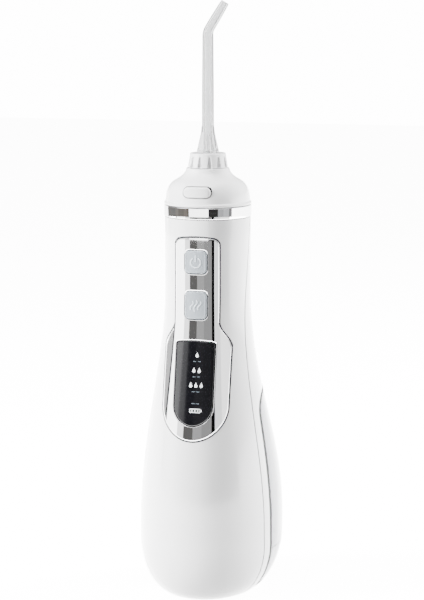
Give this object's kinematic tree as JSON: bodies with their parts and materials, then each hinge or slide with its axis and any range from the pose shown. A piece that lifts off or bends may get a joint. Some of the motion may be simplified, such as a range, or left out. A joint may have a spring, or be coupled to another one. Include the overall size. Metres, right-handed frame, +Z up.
{
  "type": "water flosser",
  "caption": "Cordless handheld oral irrigator with an oval white handle, chromed control panel, clear rear water tank and a turning bent jet tip.",
  "frame": {"origin": "under the neck's axis, on the surface that the foot stands on", "axes": "+Z up along the neck, front with the buttons faces -Y, +X to the right seen from the front"},
  "size_m": [0.067, 0.0806, 0.2797],
  "materials": {
    "white_shell": "glossy white ABS moulding",
    "chrome_trim": "vacuum-plated mirror chrome on plastic",
    "black_window": "piano-black display window with light marks",
    "button_satin": "satin grey-blue keys with raised symbols",
    "tank_clear": "smoke-clear copolyester",
    "tip_frosted": "translucent white moulding",
    "silicone_white": "matte white silicone",
    "rubber_dark": "dark nitrile rubber",
    "nylon_natural": "natural glass-filled nylon",
    "acetal_white": "white acetal",
    "nylon_black": "black nylon",
    "steel_bright": "bright stainless steel",
    "motor_metal": null,
    "brass_gear": "machined brass",
    "board_green": "solder-masked laminate",
    "cell_wrap": null,
    "led_clear": "clear epoxy lamp",
    "wire_red": "red insulation",
    "wire_black": "black insulation"
  },
  "bodies": {
    "handle": {"base_foot": "silicone_white", "battery_cell": "cell_wrap", "battery_cradle": "nylon_black", "battery_lead_black": "wire_black", "battery_lead_red": "wire_red", "case_screw_1": "steel_bright", "case_screw_2": "steel_bright", "case_screw_3": "steel_bright", "case_screw_4": "steel_bright", "charge_socket": "nylon_black", "circuit_board": "board_green", "control_panel": "chrome_trim", "display_window": "black_window", "front_shell": "white_shell", "gear_axle": "steel_bright", "head_cap": "white_shell", "indicator_led_1": "led_clear", "indicator_led_2": "led_clear", "indicator_led_3": "led_clear", "indicator_led_4": "led_clear", "inlet_hose": "silicone_white", "inlet_valve": "rubber_dark", "light_guide": "acetal_white", "mode_switch": "nylon_black", "motor_can": "motor_metal", "motor_screw_left": "steel_bright", "motor_screw_right": "steel_bright", "neck_frame": "nylon_natural", "neck_ring": "chrome_trim", "nozzle_o_ring": "rubber_dark", "nozzle_seat": "nylon_natural", "outlet_valve": "rubber_dark", "power_switch": "nylon_black", "pump_cylinder": "acetal_white", "pump_frame": "nylon_natural", "rear_shell": "white_shell", "tank_port_seal": "rubber_dark", "valve_block": "nylon_natural"},
    "tank": {"tank_shell": "tank_clear", "tank_base": "tank_clear", "outlet_nipple": "nylon_natural", "pickup_tube": "silicone_white", "pickup_filter": "steel_bright"},
    "fill_lid": {"fill_lid": "white_shell", "lid_gasket": "silicone_white"},
    "port_cover": {"port_cover": "silicone_white"},
    "release_button": {"release_button": "white_shell", "release_latch": "acetal_white"},
    "power_button": {"power_button": "button_satin"},
    "mode_button": {"mode_button": "button_satin"},
    "dial": {"nozzle_dial": "white_shell"},
    "nozzle": {"jet_tip": "tip_frosted"},
    "crank_gear": {"crown_gear": "acetal_white", "crank_pin": "steel_bright"},
    "pinion": {"motor_shaft": "steel_bright", "pinion": "brass_gear"},
    "piston": {"piston_yoke": "acetal_white", "piston_seal": "rubber_dark"}
  },
  "joints": [
    {"name": "tank_slide", "type": "slide", "parent": "handle", "child": "tank", "axis": [0, 1, 0], "range_m": [0, 0.06]},
    {"name": "fill_lid_hinge", "type": "hinge", "parent": "tank", "child": "fill_lid", "pos_m": [-0.0081, 0.03179, 0.08816], "axis": [0, -0.4104, 0.9119], "range_deg": [0, 95]},
    {"name": "port_cover_hinge", "type": "hinge", "parent": "handle", "child": "port_cover", "pos_m": [-0.0061, 0.0194, 0.15], "axis": [0, 0, 1], "range_deg": [0, 100]},
    {"name": "release_press", "type": "slide", "parent": "handle", "child": "release_button", "axis": [0, 1, 0], "range_m": [0, 0.0015], "stiffness_N_per_m": 600},
    {"name": "power_press", "type": "slide", "parent": "handle", "child": "power_button", "axis": [0, 1, 0], "range_m": [0, 0.0008], "stiffness_N_per_m": 800},
    {"name": "mode_press", "type": "slide", "parent": "handle", "child": "mode_button", "axis": [0, 1, 0], "range_m": [0, 0.0008], "stiffness_N_per_m": 800},
    {"name": "dial_spin", "type": "hinge", "parent": "handle", "child": "dial", "pos_m": [0, 0, 0.2028], "axis": [0, 0, 1], "continuous": true},
    {"name": "nozzle_pull", "type": "slide", "parent": "dial", "child": "nozzle", "axis": [0, 0, 1], "range_m": [0, 0.035]},
    {"name": "crank_spin", "type": "hinge", "parent": "handle", "child": "crank_gear", "pos_m": [0, -0.0038, 0.148], "axis": [0, 1, 0], "continuous": true},
    {"name": "pinion_spin", "type": "hinge", "parent": "handle", "child": "pinion", "pos_m": [0, -0.0007, 0.138], "axis": [0, 0, 1], "continuous": true},
    {"name": "piston_stroke", "type": "slide", "parent": "handle", "child": "piston", "axis": [0, 0, 1], "range_m": [-0.002, 0.002]}
  ],
  "couplings": [
    {"joint": "pinion_spin", "follows": "crank_spin", "ratio": -4}
  ]
}
